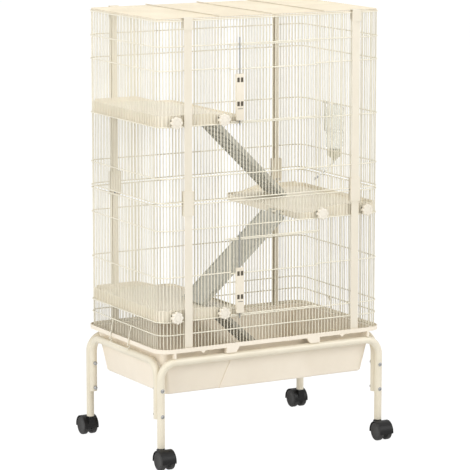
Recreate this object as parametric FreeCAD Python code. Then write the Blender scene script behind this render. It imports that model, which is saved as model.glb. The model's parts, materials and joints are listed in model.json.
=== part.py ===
import FreeCAD, Part
import math
import os

V = FreeCAD.Vector

# Wire of the cage: fine upright wires, with stronger rails outside them
wire_diameter = 2.8
rail_diameter = 3.6
wire_pitch = 11.4
cage_width = 798.0
cage_depth = 500.0
cage_corner_radius = 40.0
panel_end_gap = 0.6

# Rails, each by its rise above the one below, from the tray's ledge to the roof
panel_stand_gap = 0.3
tie_rail_rise = 50.0
low_deck_rise = 40.5
low_mid_rail_rise = 139.3
mid_deck_rise = 145.3
low_top_rail_rise = 77.6
tier_gap = 5.4
high_low_rail_rise = 75.5
high_deck_rise = 157.9
high_mid_rail_rise = 171.9
head_rail_rise = 73.4
top_rail_rise = 77.3

# Posts: one web between two flanges, with the panels' edges in the two grooves
post_center = 300.0
post_width = 27.0
post_inner_width = 14.0
post_web = 3.0
post_flange = 2.0
post_play = 0.4
sleeve_height = 76.0
sleeve_width = 34.5
sleeve_sheet = 2.0
sleeve_play = 0.3
cap_height = 38.0
cap_width = 30.0
cap_inner_drop = 32.0

# Roof
roof_seat_gap = 0.3
roof_rib_spacing = 186.0

# Doors: hung by their own rail ends, curled round a wire of the wall
door_left_wire = 13
door_hinge_wire = 14
door_edge_gap = 1.5
door_rail_gap = 0.8
door_mid_rail_drop = 5.0
door_opening_height = 245.3
hinge_play = 0.1
eye_turn = 250.0
guide_rod_diameter = 4.0
guide_wire_gap = 2.5
guide_rod_low_reach = 7.0
guide_rod_high_reach = 20.0

# Latch: a flat sleeve that slides on the door's rod, with a foot that drops behind the wall's rail
latch_width = 27.0
latch_height = 144.0
latch_sheet = 1.5
latch_lift = 10.0
latch_play = 0.4
latch_window_width = 22.0
latch_window_height = 14.5
latch_window_rise = 44.0
latch_window_step = 74.0
latch_ear_rise = 8.0
latch_foot_width = 4.5
latch_foot_depth = 2.2
latch_foot_gap = 0.6
latch_foot_play = 2.1

# Shelves
deck_width = 295.5
deck_gap = 1.0
deck_height = 39.0
deck_front_height = 35.0
deck_floor_rise = 24.0
deck_step_rise = 15.0
deck_wall = 3.0
deck_inner_corner = 28.0
deck_sill = 5.0
deck_slope_lead = 30.0
deck_slope_run = 88.0
deck_rim_lead = 60.0
deck_rim_run = 70.0
deck_rib_count = 4
deck_hook_width = 6.0
deck_hook_sheet = 3.0
deck_hook_play = 0.5
deck_hook_drop = 5.0
deck_boss_diameter = 14.0
deck_boss_length = 12.0
pivot_diameter = 8.0
pivot_offset = 8.6
pivot_rise = 8.0
pivot_ear_width = 5.0
pivot_ear_spread = 50.0

# Knobs
knob_rise = 14.0
knob_diameter = 38.0
knob_lobe_diameter = 11.0
knob_lobe_count = 8
knob_thickness = 13.0
knob_round = 1.5
knob_dish_diameter = 20.0
knob_dish_depth = 1.5
knob_play = 0.4
stud_diameter = 6.0
stud_play = 0.1
stud_tip_gap = 1.0
left_knob_gap = 15.5
return_knob_gap = 3.5

# Ramps
ramp_width = 132.0
ramp_sheet = 4.0
ramp_skirt = 10.0
ramp_wall = 3.0
ramp_kerb = 4.0
ramp_tread_pitch = 28.0
ramp_tread_width = 5.0
ramp_tread_height = 1.6
ramp_start = 10.5
ramp_foot_gap = 0.3
ramp_hook_sheet = 3.0
ramp_hook_play = 0.1
ramp_hook_width = 24.0
ramp_hook_spread = 25.0
ramp_hook_mouth = 6.4
back_ramp_center = 106.0
front_ramp_center = -116.0
high_ramp_slope = 44.5
mid_ramp_slope = 41.5
low_ramp_slope = 42.0

# Stand
tube_diameter = 24.0
tube_wall = 1.5
stand_width = 791.2
stand_depth = 493.2
leg_length = 265.7
bend_radius = 50.0
side_leg_length = 174.0
tube_contact_gap = 0.1
bolt_diameter = 6.0
bolt_hole_play = 0.2
bolt_head_diameter = 13.0
bolt_head_height = 3.0
bolt_socket_diameter = 4.6
bolt_socket_depth = 2.0
bolt_socket_sides = 6
nut_diameter = 12.0
nut_height = 6.0
bolt_drop = 84.0
bolt_step = 81.0
plug_length = 12.0
plug_cap = 3.0
plug_play = 0.1

# Tray
tray_seat_gap = 0.3
tray_foot_height = 17.6
lip_height = 13.0
ledge_drop = 7.0
tray_wall = 2.5
tray_depth = 145.0
tray_taper = 24.0
tray_side_gap = 1.6
tray_front_gap = 1.1
tray_corner_radius = 18.0
tray_base_radius = 18.0
tray_base_bevel = 4.0
lip_width = 812.0
lip_depth = 516.0
lip_corner_radius = 50.0
apron_relief = 2.5
apron_top_width = 239.0
apron_base_width = 340.0
tray_foot_inner = 121.0
tray_foot_outer = 169.0
tray_foot_slant = 14.0
tray_foot_depth = 14.0
rim_tab_center = 252.0
rim_tab_width = 18.0
rim_tab_drop = 8.0
corner_foot_center = 350.0
corner_foot_width = 7.0

# Casters
wheel_diameter = 59.0
wheel_width = 16.4
wheel_round = 3.0
tread_flats = 32
tread_spare = 0.2
tread_proud = 0.1
wheel_side_gap = 0.8
wheel_dish_diameter = 46.0
wheel_dish_depth = 3.0
wheel_hub_diameter = 13.0
wheel_play = 0.05
caster_trail = 23.0
caster_web = 13.0
hood_play = 1.5
hood_sheet = 2.5
hood_overhang = 1.0
hood_skirt_drop = 5.0
hood_boss_width = 22.0
hood_boss_half_length = 10.0
hood_top_rise = 30.7
axle_diameter = 6.0
axle_fit = 0.02
axle_head_diameter = 9.0
axle_head = 1.2
axle_head_gap = 0.3
stem_diameter = 8.0
stem_play = 0.05
stem_socket_depth = 24.0
stem_bottom_gap = 0.5
stem_collar_diameter = 15.0
stem_collar = 1.6
stem_collar_gap = 0.3
insert_flange = 2.0
insert_length = 30.0

# Bails that tie the body to the tray
bail_wire = 3.6
bail_eye_play = 0.15
bail_eye_sheet = 1.6
bail_eye_width = 5.0
bail_front_gap = -5
bail_back_gap = 6
bail_lip_gap = 5.5
bail_hook_gap = 2.5
bail_hook_in = 6.0
bail_hook_dip = 2.0
bail_pull_drop = 12.0
bail_bend = 2.2

# Bottle on the right wall
bottle_gap = 8
bottle_wall_gap = 3.0
bottle_diameter = 58.0
bottle_wall = 1.5
bottle_height = 150.0
bottle_shoulder = 12.0
bottle_rise = 73.0
neck_diameter = 30.0
neck_length = 16.0
neck_cap_play = 0.1
cap_diameter = 50.0
cap_sheet = 2.0
cap_nose_diameter = 14.0
cap_funnel_height = 14.0
cap_nose_length = 4.0
spout_diameter = 7.0
spout_wall = 0.6
spout_bend = 12.0
spout_reach = 42.0
spout_turn_drop = 7.0
spout_tip_drop = 51.0
spout_top_gap = 2.0
spout_ball_diameter = 5.6
spout_ball_sink = 1.0
hanger_wire = 3.0
hanger_play = 0.3
hanger_rise = 62.0
hanger_bend = 4.0
hanger_hook_drop = 9.0
hanger_rail_play = 0.3


# Shapes that several pieces share

arc_tolerance = 1e-6
across = V(1, 0, 0)
deep = V(0, 1, 0)
up = V(0, 0, 1)


def box(x_span, y_span, z_span):
    low = V(min(x_span), min(y_span), min(z_span))
    size = V(max(x_span), max(y_span), max(z_span)) - low
    return Part.makeBox(size.x, size.y, size.z, low)


def rod(start, end, diameter):
    along = end - start
    return Part.makeCylinder(diameter / 2, along.Length, start, along)


def ring(base, along, length, outer, inner):
    body = Part.makeCylinder(outer / 2, length, base, along)
    return body.cut(Part.makeCylinder(inner / 2, length, base, along))


def prism(points, along):
    return Part.Face(Part.makePolygon(points + points[:1])).extrude(along)


def rounded_ring(half_x, half_y, radius, height):
    # A rectangle with round corners, lying level
    edges = []
    corners = [(1, -1), (1, 1), (-1, 1), (-1, -1)]
    ends = []
    for index, (side_x, side_y) in enumerate(corners):
        center = V(side_x * (half_x - radius), side_y * (half_y - radius), height)
        start = math.radians(90 * index - 90)
        marks = [start, start + math.pi / 4, start + math.pi / 2]
        places = [center + V(radius * math.cos(mark), radius * math.sin(mark), 0) for mark in marks]
        edges.append(Part.Arc(places[0], places[1], places[2]).toShape())
        ends.append((places[0], places[2]))
    for index in range(4):
        edges.append(Part.makeLine(ends[index][1], ends[(index + 1) % 4][0]))
    return Part.Wire(Part.__sortEdges__(edges))


def plate(half_x, half_y, radius, bottom, top):
    return Part.Face(rounded_ring(half_x, half_y, radius, bottom)).extrude(V(0, 0, top - bottom))


def bent_path(points, bend):
    # Straight runs joined by arcs of one radius
    edges = []
    start = points[0]
    for before, corner, after in zip(points, points[1:], points[2:]):
        back = (before - corner).normalize()
        ahead = (after - corner).normalize()
        half_angle = back.getAngle(ahead) / 2
        setback = bend / math.tan(half_angle)
        middle = (back + ahead).normalize()
        arc_in = corner + back * setback
        arc_out = corner + ahead * setback
        arc_mid = corner + middle * (bend / math.sin(half_angle) - bend)
        if (arc_in - start).Length > arc_tolerance:
            edges.append(Part.makeLine(start, arc_in))
        edges.append(Part.Arc(arc_in, arc_mid, arc_out).toShape())
        start = arc_out
    edges.append(Part.makeLine(start, points[-1]))
    return edges


def swept(edges, diameter):
    path = Part.Wire(edges)
    first = edges[0]
    start = first.valueAt(first.FirstParameter)
    along = first.tangentAt(first.FirstParameter)
    profile = Part.Wire(Part.makeCircle(diameter / 2, start, along))
    return path.makePipeShell([profile], True, True)


def bent_rod(points, bend, diameter):
    return swept(bent_path(points, bend), diameter)


def mirrored(shape, normal):
    return shape.mirror(V(0, 0, 0), normal)


# Heights that follow from the driving sizes
axle_height = wheel_diameter / 2
hood_top = axle_height + hood_top_rise
insert_bottom = hood_top + stem_collar_gap + stem_collar
leg_bottom = insert_bottom + insert_flange
tube_height = leg_bottom + leg_length
tube_top = tube_height + tube_diameter / 2
tray_foot_bottom = tube_top + tray_seat_gap
lip_bottom = tray_foot_bottom + tray_foot_height
lip_top = lip_bottom + lip_height
ledge = lip_top - ledge_drop
tray_bottom = ledge - tray_depth
tray_floor = tray_bottom + tray_wall

wire_radius = wire_diameter / 2
rail_radius = rail_diameter / 2
panel_base = ledge + panel_stand_gap
base_rail = panel_base + rail_radius
tie_rail = ledge + tie_rail_rise
low_deck = tie_rail + low_deck_rise
low_mid_rail = low_deck + low_mid_rail_rise
mid_deck = low_mid_rail + mid_deck_rise
low_top_rail = mid_deck + low_top_rail_rise
low_tier_top = low_top_rail + rail_radius
high_tier_base = low_tier_top + tier_gap
high_base_rail = high_tier_base + rail_radius
high_low_rail = high_base_rail + high_low_rail_rise
high_deck = high_low_rail + high_deck_rise
high_mid_rail = high_deck + high_mid_rail_rise
head_rail = high_mid_rail + head_rail_rise
top_rail = head_rail + top_rail_rise
high_tier_top = top_rail + rail_radius
roof_loop = high_tier_top + roof_seat_gap + rail_radius
roof_wire = roof_loop + rail_radius + wire_radius
roof_rib = roof_wire + wire_radius + rail_radius

# Plan of the wire body: rails outside, upright wires touching them inside
rail_half_x = cage_width / 2 - rail_radius
rail_half_y = cage_depth / 2 - rail_radius
rail_bend = cage_corner_radius - rail_radius
wire_half_x = rail_half_x - rail_radius - wire_radius
wire_half_y = rail_half_y - rail_radius - wire_radius
wire_bend = rail_bend - rail_radius - wire_radius
groove_gap = post_web / 2 + panel_end_gap
front_end = post_center - groove_gap
return_end = post_center + groove_gap
front_gaps = 2 * round((front_end - wire_radius) / wire_pitch)
front_pitch = 2 * (front_end - wire_radius) / front_gaps
return_run = wire_half_x - wire_bend - return_end - wire_radius
corner_run = wire_bend * math.pi / 2
side_run = 2 * (wire_half_y - wire_bend)
side_length = 2 * return_run + 2 * corner_run + side_run
side_gaps = 2 * round((side_length / wire_pitch - 1) / 2) + 1
side_pitch = side_length / side_gaps


def front_x(count):
    return front_pitch * count


def side_point(run):
    # A place on the right wall's line of wires, from its front end to its back end
    mirror_y = 1
    if run > side_length / 2:
        run = side_length - run
        mirror_y = -1
    first_x = return_end + wire_radius
    if run <= return_run:
        return V(first_x + run, -mirror_y * wire_half_y, 0)
    center = V(wire_half_x - wire_bend, wire_bend - wire_half_y, 0)
    turn = (run - return_run) / wire_bend
    if turn <= math.pi / 2:
        place = center + V(wire_bend * math.sin(turn), -wire_bend * math.cos(turn), 0)
    else:
        place = V(wire_half_x, center.y + run - return_run - corner_run, 0)
    return V(place.x, mirror_y * place.y, 0)


def upright(x, y, low, high, diameter):
    return rod(V(x, y, low), V(x, y, high), diameter)


# Wire panels

def side_panel(low, high, rails):
    wires = []
    for count in range(side_gaps + 1):
        place = side_point(side_pitch * count)
        wires.append(upright(place.x, place.y, low, high, wire_diameter))
    for height in rails:
        corners = [(return_end, -rail_half_y), (rail_half_x, -rail_half_y)]
        corners += [(rail_half_x, rail_half_y), (return_end, rail_half_y)]
        wires.append(bent_rod([V(x, y, height) for x, y in corners], rail_bend, rail_diameter))
    return Part.makeCompound(wires)


def back_panel(low, high, rails):
    wires = []
    for count in range(-front_gaps // 2, front_gaps // 2 + 1):
        wires.append(upright(front_x(count), wire_half_y, low, high, wire_diameter))
    for height in rails:
        left_end = V(-front_end, rail_half_y, height)
        wires.append(rod(left_end, left_end + V(2 * front_end, 0, 0), rail_diameter))
    return Part.makeCompound(wires)


opening_left = -front_x(door_left_wire) - wire_diameter - door_edge_gap
opening_right = front_x(door_hinge_wire)
rail_stub = front_x(door_hinge_wire + 1)


def front_panel(low, high, full_rails, cut_rails, sill, head):
    wires = []
    for count in range(-front_gaps // 2, front_gaps // 2 + 1):
        x = front_x(count)
        if opening_left < x < opening_right - wire_radius:
            wires.append(upright(x, -wire_half_y, low, sill + rail_radius, wire_diameter))
            wires.append(upright(x, -wire_half_y, head - rail_radius, high, wire_diameter))
        else:
            wires.append(upright(x, -wire_half_y, low, high, wire_diameter))
    wires.append(upright(opening_left, -wire_half_y, sill - rail_radius, head + rail_radius, wire_diameter))
    for height in full_rails:
        left_end = V(-front_end, -rail_half_y, height)
        wires.append(rod(left_end, left_end + V(2 * front_end, 0, 0), rail_diameter))
    for height in cut_rails:
        left_end = V(opening_left + wire_radius, -rail_half_y, height)
        right_end = V(opening_right - wire_radius, -rail_half_y, height)
        wires.append(rod(V(-front_end, -rail_half_y, height), left_end, rail_diameter))
        wires.append(rod(right_end, V(front_end, -rail_half_y, height), rail_diameter))
    if head not in full_rails:
        wires.append(rod(V(-rail_stub, -rail_half_y, head), V(rail_stub, -rail_half_y, head), rail_diameter))
    return Part.makeCompound(wires)


def roof_panel():
    loop = rounded_ring(wire_half_x, wire_half_y, wire_bend, roof_loop)
    start = V(0, -wire_half_y, roof_loop)
    profile = Part.Wire(Part.makeCircle(rail_radius, start, across))
    wires = [loop.makePipeShell([profile], True, True)]
    rows = 2 * round(wire_half_y / wire_pitch)
    row_pitch = 2 * wire_half_y / rows
    corner_y = wire_half_y - wire_bend
    for count in range(1, rows):
        y = row_pitch * count - wire_half_y
        reach = wire_half_x
        if abs(y) > corner_y:
            reach = wire_half_x - wire_bend + math.sqrt(wire_bend ** 2 - (abs(y) - corner_y) ** 2)
        wires.append(rod(V(-reach, y, roof_wire), V(reach, y, roof_wire), wire_diameter))
    for x in (-roof_rib_spacing, 0, roof_rib_spacing):
        wires.append(rod(V(x, -wire_half_y, roof_rib), V(x, wire_half_y, roof_rib), rail_diameter))
    return Part.makeCompound(wires)


# Doors: upright wires, three rails curled round the hinge wire, and a guide rod for the latch

hinge_offset = wire_radius + hinge_play + rail_radius
door_rail_y = -wire_half_y - hinge_offset
door_wire_y = door_rail_y + rail_radius + wire_radius
guide_x = -front_x(door_left_wire - guide_wire_gap)
guide_y = door_rail_y - rail_radius - guide_rod_diameter / 2


def door(sill, head, mid_rail):
    low_rail = sill + rail_diameter + door_rail_gap
    high_rail = head - rail_diameter - door_rail_gap
    left = -front_x(door_left_wire) - wire_radius
    pieces = []
    for height in (low_rail, mid_rail - door_mid_rail_drop, high_rail):
        pivot = V(opening_right, -wire_half_y, height)
        start = V(left, door_rail_y, height)
        turn = math.radians(eye_turn)
        marks = [-math.pi / 2, turn / 2 - math.pi / 2, turn - math.pi / 2]
        arms = [V(math.cos(mark), math.sin(mark), 0) * hinge_offset for mark in marks]
        places = [pivot + arm for arm in arms]
        curl = Part.Arc(places[0], places[1], places[2]).toShape()
        pieces.append(swept([Part.makeLine(start, places[0]), curl], rail_diameter))
    for count in range(-door_left_wire, door_left_wire + 1):
        pieces.append(upright(front_x(count), door_wire_y, low_rail - rail_radius, high_rail + rail_radius,
                              wire_diameter))
    pieces.append(upright(guide_x, guide_y, sill - guide_rod_low_reach, head + guide_rod_high_reach,
                          guide_rod_diameter))
    return Part.makeCompound(pieces)


latch_back = guide_y - guide_rod_diameter / 2 - latch_play
latch_front = latch_back - latch_sheet
latch_inner = door_rail_y - rail_radius - latch_play


def latch(sill, mid_rail):
    low_rail_top = sill + rail_diameter + door_rail_gap + rail_radius
    ear = low_rail_top + latch_lift + latch_foot_gap
    low = ear - latch_ear_rise
    left = guide_x - latch_width / 2
    right = guide_x + latch_width / 2
    top = low + latch_height
    back = guide_y + guide_rod_diameter / 2 + 2 * latch_play
    back_top = min(top, mid_rail - door_mid_rail_drop - rail_radius - latch_foot_gap)
    body = box((left, right), (latch_front, latch_inner), (low, top))
    body = body.fuse(box((left, right), (latch_front, back + latch_sheet), (ear, back_top)))
    room_x = (left + latch_sheet, right - latch_sheet)
    body = body.cut(box(room_x, (latch_back, latch_inner), (low, top)))
    body = body.cut(box(room_x, (latch_back, back), (ear, back_top)))
    for count in range(2):
        window_low = low + latch_window_rise + latch_window_step * count
        window_x = (guide_x - latch_window_width / 2, guide_x + latch_window_width / 2)
        window_z = (window_low, window_low + latch_window_height)
        body = body.cut(box(window_x, (latch_front, latch_back), window_z))
    for height, reach in ((ear, back + latch_sheet), (top - latch_ear_rise, latch_inner)):
        tab = box((left, right), (latch_front, reach), (height, height + latch_sheet))
        body = body.fuse(tab.cut(upright(guide_x, guide_y, height, height + latch_sheet,
                                         guide_rod_diameter + 2 * latch_play)))
    foot_x = (guide_x - latch_foot_width / 2, guide_x + latch_foot_width / 2)
    foot_outer = door_rail_y + rail_radius + latch_foot_play
    foot_inner = foot_outer + latch_foot_depth
    arm = box(foot_x, (back, foot_inner), (ear, ear + latch_sheet))
    foot = box(foot_x, (foot_outer, foot_inner), (sill + rail_radius + latch_foot_gap, ear + latch_sheet))
    return body.fuse([arm, foot]).removeSplitter()


# Posts, their sleeves and their caps

groove_outer = cage_depth / 2 + post_play
groove_inner = wire_half_y - wire_radius - post_play
post_face = groove_outer + post_flange
post_back = groove_inner - post_flange


def at_posts(shape):
    # One piece made at the front left post, repeated at all four
    pair = [shape, mirrored(shape, across)]
    return pair + [mirrored(piece, deep) for piece in pair]


def post(low, high):
    span_x = (-post_center - post_width / 2, -post_center + post_width / 2)
    web_x = (-post_center - post_web / 2, -post_center + post_web / 2)
    outer = box(span_x, (-post_face, -groove_outer), (low, high))
    inner_x = (-post_center - post_inner_width / 2, -post_center + post_inner_width / 2)
    inner = box(inner_x, (-groove_inner, -post_back), (low, high))
    return outer.fuse([inner, box(web_x, (-post_face, -post_back), (low, high))]).removeSplitter()


def sleeve_half(face, lip_end, toward, flange_width):
    # A shallow channel over one flange: toward is the way its open side looks
    joint = (low_tier_top + high_tier_base) / 2
    tall = (joint - sleeve_height / 2, joint + sleeve_height / 2)
    wide = (-post_center - sleeve_width / 2, -post_center + sleeve_width / 2)
    near = face - toward * sleeve_play
    shell = box(wide, (near - toward * sleeve_sheet, lip_end), tall)
    room_half = flange_width / 2 + sleeve_play
    return shell.cut(box((-post_center - room_half, -post_center + room_half), (near, lip_end), tall))


def post_cap():
    top = roof_rib
    low = top - cap_height
    wide = (-post_center - cap_width / 2, -post_center + cap_width / 2)
    near = -post_face - sleeve_play
    seat = roof_wire + wire_radius + roof_seat_gap
    inner = -post_back + sleeve_play
    inner_face = inner + sleeve_sheet
    body = box(wide, (near - sleeve_sheet, inner_face), (low, top))
    body = body.cut(box(wide, (near, inner), (low, seat)))
    body = body.cut(box(wide, (inner, inner_face), (low, top - cap_inner_drop)))
    for side in (-1, 1):
        inner_x = -post_center + side * (post_width / 2 + sleeve_play)
        outer_x = -post_center + side * cap_width / 2
        body = body.fuse(box((inner_x, outer_x), (near, -groove_outer - post_play), (low, high_tier_top)))
    return body.removeSplitter()


# Shelves: built for the left side, low face at zero height

deck_outer = wire_half_x - wire_radius - deck_gap
deck_edge = deck_outer - deck_width
deck_half_y = post_back - deck_gap
deck_corner = wire_bend - wire_radius - deck_gap
pivot_x = -deck_edge + pivot_offset
left_knob_x = -front_x(left_knob_gap)
return_knob_x = -return_end - wire_radius - side_pitch * return_knob_gap


def deck_outline(inset, bottom, top):
    # Round at the cage's corners and, a little tighter, at the ramp side
    outer = deck_outer - inset
    edge = deck_edge + inset
    half_y = deck_half_y - inset
    middle = (deck_outer + deck_edge) / 2
    wall_side = plate(outer, half_y, deck_corner - inset, bottom, top)
    wall_side = wall_side.common(box((-outer, -middle), (-half_y, half_y), (bottom, top)))
    ramp_half = (outer - edge) / 2
    ramp_side = plate(ramp_half, half_y, deck_inner_corner - inset, bottom, top)
    ramp_side.translate(V(-(outer + edge) / 2, 0, 0))
    ramp_side = ramp_side.common(box((-middle, -edge), (-half_y, half_y), (bottom, top)))
    return wall_side.fuse(ramp_side).removeSplitter()


def deck(ramp_y):
    # The floor steps down by a slope toward the ramp side
    low_end = -deck_edge - deck_slope_lead
    high_end = low_end - deck_slope_run
    inside = deck_outline(deck_wall, 0, deck_height)
    floor = [V(-deck_outer, -deck_half_y, deck_floor_rise), V(high_end, -deck_half_y, deck_floor_rise)]
    floor += [V(low_end, -deck_half_y, deck_step_rise), V(-deck_edge, -deck_half_y, deck_step_rise)]
    over = floor + [V(-deck_edge, -deck_half_y, deck_height), V(-deck_outer, -deck_half_y, deck_height)]
    under = [place - V(0, 0, deck_wall) for place in floor]
    under += [V(-deck_edge, -deck_half_y, 0), V(-deck_outer, -deck_half_y, 0)]
    full_depth = V(0, 2 * deck_half_y, 0)
    hollow = prism(under, full_depth).common(inside)
    body = deck_outline(0, 0, deck_height).cut(prism(over, full_depth).common(inside)).cut(hollow)
    # The rim is highest at the back and slopes down to a low sill
    front_y = (-deck_half_y, deck_half_y - deck_wall)
    body = body.cut(box((-deck_outer, -deck_edge), front_y, (deck_front_height, deck_height)))
    sill = deck_step_rise + deck_sill
    rim_end = -deck_edge - deck_rim_lead
    slope = [V(-deck_edge, -deck_half_y, sill), V(rim_end, -deck_half_y, sill)]
    slope.append(V(rim_end - deck_rim_run, -deck_half_y, deck_height))
    slope.append(V(-deck_edge, -deck_half_y, deck_height))
    body = body.cut(prism(slope, full_depth))
    ribs = []
    step = deck_width / (deck_rib_count + 1)
    for count in range(1, deck_rib_count + 1):
        x = step * count - deck_outer
        rib_x = (x - deck_wall / 2, x + deck_wall / 2)
        ribs.append(box(rib_x, (-deck_half_y, deck_half_y), (0, deck_floor_rise)).common(hollow))
    for x in (left_knob_x, return_knob_x):
        front = V(x, -deck_half_y, knob_rise)
        ribs.append(rod(front, front + V(0, deck_boss_length, 0), deck_boss_diameter))
        hook_x = (x - deck_hook_width / 2, x + deck_hook_width / 2)
        arm_low = rail_radius + deck_hook_play
        arm_high = arm_low + deck_hook_sheet
        prong = cage_depth / 2 + deck_hook_play
        ribs.append(box(hook_x, (deck_half_y - deck_wall, prong + deck_hook_sheet), (arm_low, arm_high)))
        ribs.append(box(hook_x, (prong, prong + deck_hook_sheet), (-deck_hook_drop, arm_high)))
    bar_half = pivot_ear_spread + pivot_ear_width / 2
    ribs.append(rod(V(pivot_x, ramp_y - bar_half, pivot_rise), V(pivot_x, ramp_y + bar_half, pivot_rise),
                    pivot_diameter))
    for place in (-pivot_ear_spread, 0, pivot_ear_spread):
        ear_y = (ramp_y + place - pivot_ear_width / 2, ramp_y + place + pivot_ear_width / 2)
        ear_z = (pivot_rise - pivot_diameter / 2, pivot_rise + pivot_diameter / 2)
        ribs.append(box((-deck_edge - deck_wall, pivot_x), ear_y, ear_z))
    body = body.fuse(ribs)
    for x in (left_knob_x, return_knob_x):
        front = V(x, -deck_half_y, knob_rise)
        body = body.cut(rod(front, front + V(0, deck_boss_length, 0), stud_diameter + 2 * stud_play))
    return body.removeSplitter()


def knob(x, height):
    # A lobed grip with a shallow dish, on a stud that reaches into the shelf's boss
    back = V(x, -cage_depth / 2 - knob_play, height)
    out = -deep
    lobe_place = (knob_diameter - knob_lobe_diameter) / 2
    body = Part.makeCylinder(lobe_place, knob_thickness, back, out)
    lobes = []
    for count in range(knob_lobe_count):
        turn = 2 * math.pi * count / knob_lobe_count
        place = back + V(lobe_place * math.cos(turn), 0, lobe_place * math.sin(turn))
        lobes.append(Part.makeCylinder(knob_lobe_diameter / 2, knob_thickness, place, out))
    body = body.fuse(lobes).removeSplitter()
    face = back.y - knob_thickness
    rim = [edge for edge in body.Edges if edge.BoundBox.YMax < face + knob_play]
    body = body.makeFillet(knob_round, rim)
    dish = Part.makeCylinder(knob_dish_diameter / 2, knob_dish_depth, V(x, face, height), deep)
    body = body.cut(dish)
    tip = deck_boss_length - deck_half_y - stud_tip_gap
    return body.fuse(rod(back, V(x, tip, height), stud_diameter)).removeSplitter()


# Ramps: built level along X from the pivot, then tilted down

def ramp(slope, drop, toward, pivot):
    tilt = math.radians(slope)
    under = ramp_skirt - ramp_sheet
    length = (drop - ramp_foot_gap - under * math.cos(tilt)) / math.sin(tilt)
    half = ramp_width / 2
    body = box((ramp_start, length), (-half, half), (-under, ramp_sheet))
    inside_y = (ramp_wall - half, half - ramp_wall)
    body = body.cut(box((ramp_start + ramp_wall, length - ramp_wall), inside_y, (-under, 0)))
    extras = []
    for side in (-1, 1):
        kerb_y = (side * half, side * (half - ramp_wall))
        extras.append(box((ramp_start, length), kerb_y, (ramp_sheet, ramp_sheet + ramp_kerb)))
    treads = math.floor((length - ramp_start) / ramp_tread_pitch)
    for count in range(1, treads + 1):
        x = ramp_start + (length - ramp_start) * count / (treads + 1)
        tread_x = (x - ramp_tread_width / 2, x + ramp_tread_width / 2)
        extras.append(box(tread_x, inside_y, (ramp_sheet, ramp_sheet + ramp_tread_height)))
        rib_x = (x - ramp_wall / 2, x + ramp_wall / 2)
        extras.append(box(rib_x, inside_y, (-under, 0)))
    bore = pivot_diameter + 2 * ramp_hook_play
    outer = bore + 2 * ramp_hook_sheet
    for place in (-ramp_hook_spread, ramp_hook_spread):
        eye = ring(V(0, place - ramp_hook_width / 2, 0), deep, ramp_hook_width, outer, bore)
        mouth = box((-ramp_hook_mouth / 2, ramp_hook_mouth / 2),
                    (place - ramp_hook_width / 2, place + ramp_hook_width / 2), (-outer, 0))
        mouth.rotate(V(0, 0, 0), deep, -slope)
        hook_y = (place - ramp_hook_width / 2, place + ramp_hook_width / 2)
        extras.append(eye.cut(mouth))
        extras.append(box((bore / 2 + ramp_hook_play, ramp_start + ramp_wall), hook_y, (0, ramp_sheet)))
    body = body.fuse(extras).removeSplitter()
    body.rotate(V(0, 0, 0), deep, slope)
    if toward < 0:
        body = mirrored(body, across)
    body.translate(pivot)
    return body


# Stand

leg_x = stand_width / 2
leg_y = stand_depth / 2
side_leg_y = leg_y - tube_diameter - tube_contact_gap
bolt_heights = (tube_height - bolt_drop, tube_height - bolt_drop - bolt_step)


def tube(points):
    path = bent_path(points, bend_radius)
    return swept(path, tube_diameter).cut(swept(path, tube_diameter - 2 * tube_wall))


def drilled(frame):
    for x in (-leg_x, leg_x):
        for height in bolt_heights:
            for side in (-1, 1):
                hole = rod(V(x, side * (leg_y + tube_diameter), height), V(x, 0, height),
                           bolt_diameter + 2 * bolt_hole_play)
                frame = frame.cut(hole)
    return frame


def long_frame(y):
    corners = [(-leg_x, leg_bottom), (-leg_x, tube_height), (leg_x, tube_height), (leg_x, leg_bottom)]
    return drilled(tube([V(x, y, height) for x, height in corners]))


def short_frame(x):
    low = tube_height - side_leg_length
    corners = [(-side_leg_y, low), (-side_leg_y, tube_height), (side_leg_y, tube_height), (side_leg_y, low)]
    return drilled(tube([V(x, y, height) for y, height in corners]))


def frame_bolts():
    pieces = []
    for height in bolt_heights:
        face = -leg_y - tube_diameter / 2
        inner = -side_leg_y + tube_diameter / 2
        head = Part.makeCone(bolt_head_diameter / 2, bolt_diameter / 2, bolt_head_height,
                             V(-leg_x, face, height), -deep)
        socket = []
        for count in range(bolt_socket_sides):
            turn = 2 * math.pi * count / bolt_socket_sides
            reach = V(math.cos(turn), 0, math.sin(turn)) * (bolt_socket_diameter / 2)
            socket.append(V(-leg_x, face - bolt_head_height, height) + reach)
        head = head.cut(prism(socket, V(0, bolt_socket_depth, 0)))
        shank = rod(V(-leg_x, face, height), V(-leg_x, inner + nut_height / 2, height), bolt_diameter)
        nut = ring(V(-leg_x, inner, height), deep, nut_height, nut_diameter, bolt_diameter)
        crown = V(-leg_x, inner + nut_height / 2, height)
        dome = Part.makeSphere(nut_diameter / 2, crown, deep)
        dome = dome.common(rod(crown, crown + V(0, nut_diameter, 0), nut_diameter))
        pieces.append(head.fuse([shank, nut, dome]).removeSplitter())
    whole = []
    for piece in pieces:
        whole += at_posts(piece)
    return Part.makeCompound(whole)


plug_diameter = tube_diameter - 2 * tube_wall - 2 * plug_play


def leg_plugs():
    low = tube_height - side_leg_length
    base = V(-leg_x, -side_leg_y, low)
    body = rod(base - V(0, 0, plug_cap), base, tube_diameter)
    body = body.fuse(rod(base, base + V(0, 0, plug_length), plug_diameter)).removeSplitter()
    return Part.makeCompound(at_posts(drilled(body)))


def leg_inserts():
    base = V(-leg_x, -leg_y, leg_bottom)
    flange_base = base - V(0, 0, insert_flange)
    body = rod(flange_base, base, tube_diameter)
    body = body.fuse(rod(base, base + V(0, 0, insert_length), plug_diameter)).removeSplitter()
    bore = rod(flange_base, base + V(0, 0, insert_length), stem_diameter + 2 * axle_fit)
    return Part.makeCompound(at_posts(body.cut(bore)))


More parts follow.
